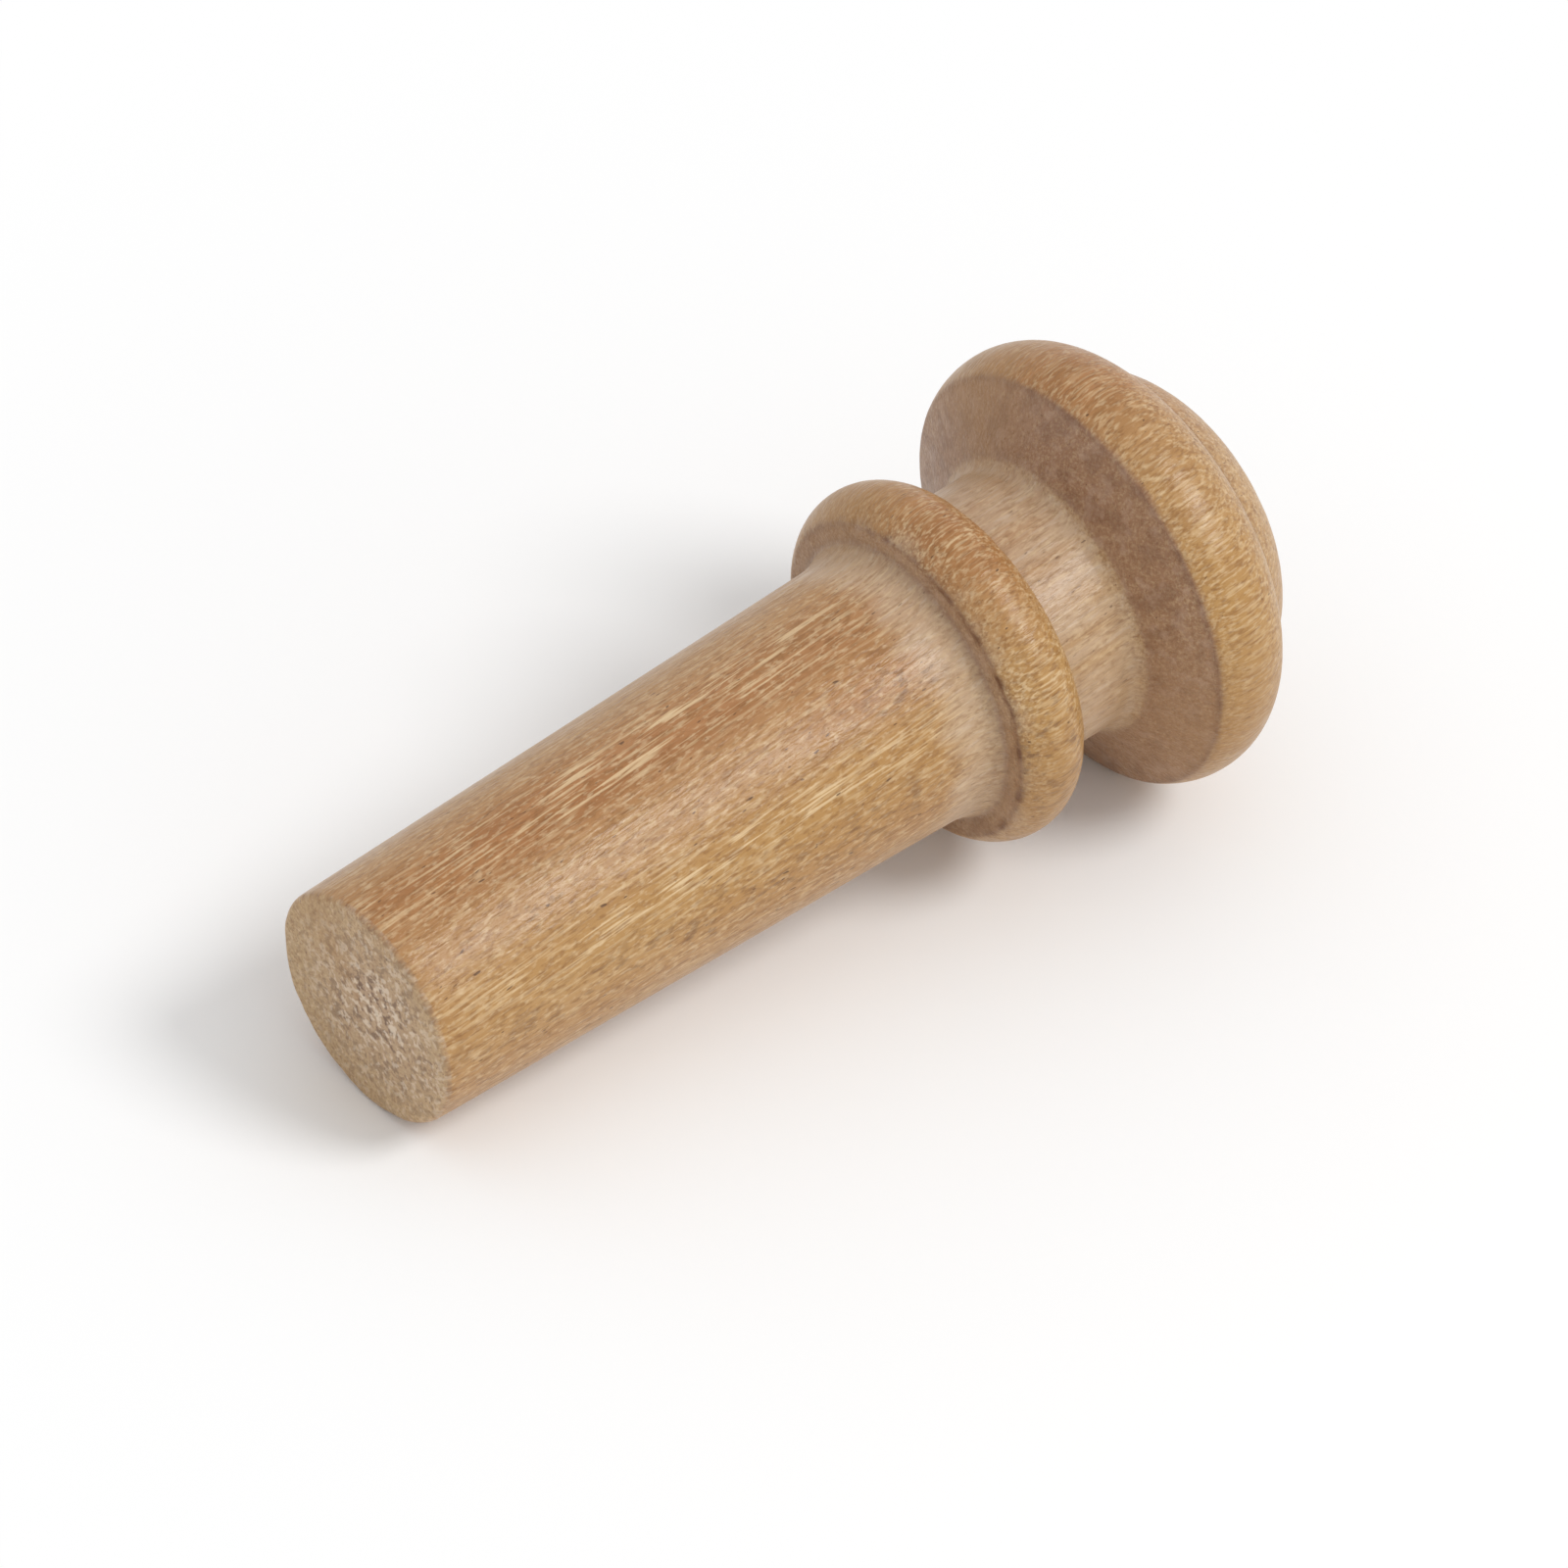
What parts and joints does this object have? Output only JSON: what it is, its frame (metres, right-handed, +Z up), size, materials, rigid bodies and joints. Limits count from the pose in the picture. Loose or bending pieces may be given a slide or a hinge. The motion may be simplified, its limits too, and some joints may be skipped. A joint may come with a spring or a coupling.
{
  "type": "violin end button",
  "caption": "Turned boxwood end button: tapered shank for the end block, beaded collar that seats on the rib, neck for the tailgut loop and a round crowned head.",
  "frame": {"origin": "on the turning axis, in the plane of the collar's seat, the flat ring that rests on the instrument's rib", "axes": "+X along the turning axis from the tip of the shank to the crown of the head, +Z up, +Y completes a right-handed frame; the part is round about +X"},
  "size_m": [0.0311, 0.0136, 0.0136],
  "materials": {
    "boxwood": "waxed satin boxwood, with bare end grain on the tip face"
  },
  "bodies": {
    "root": {"end_button": "boxwood"}
  },
  "joints": []
}
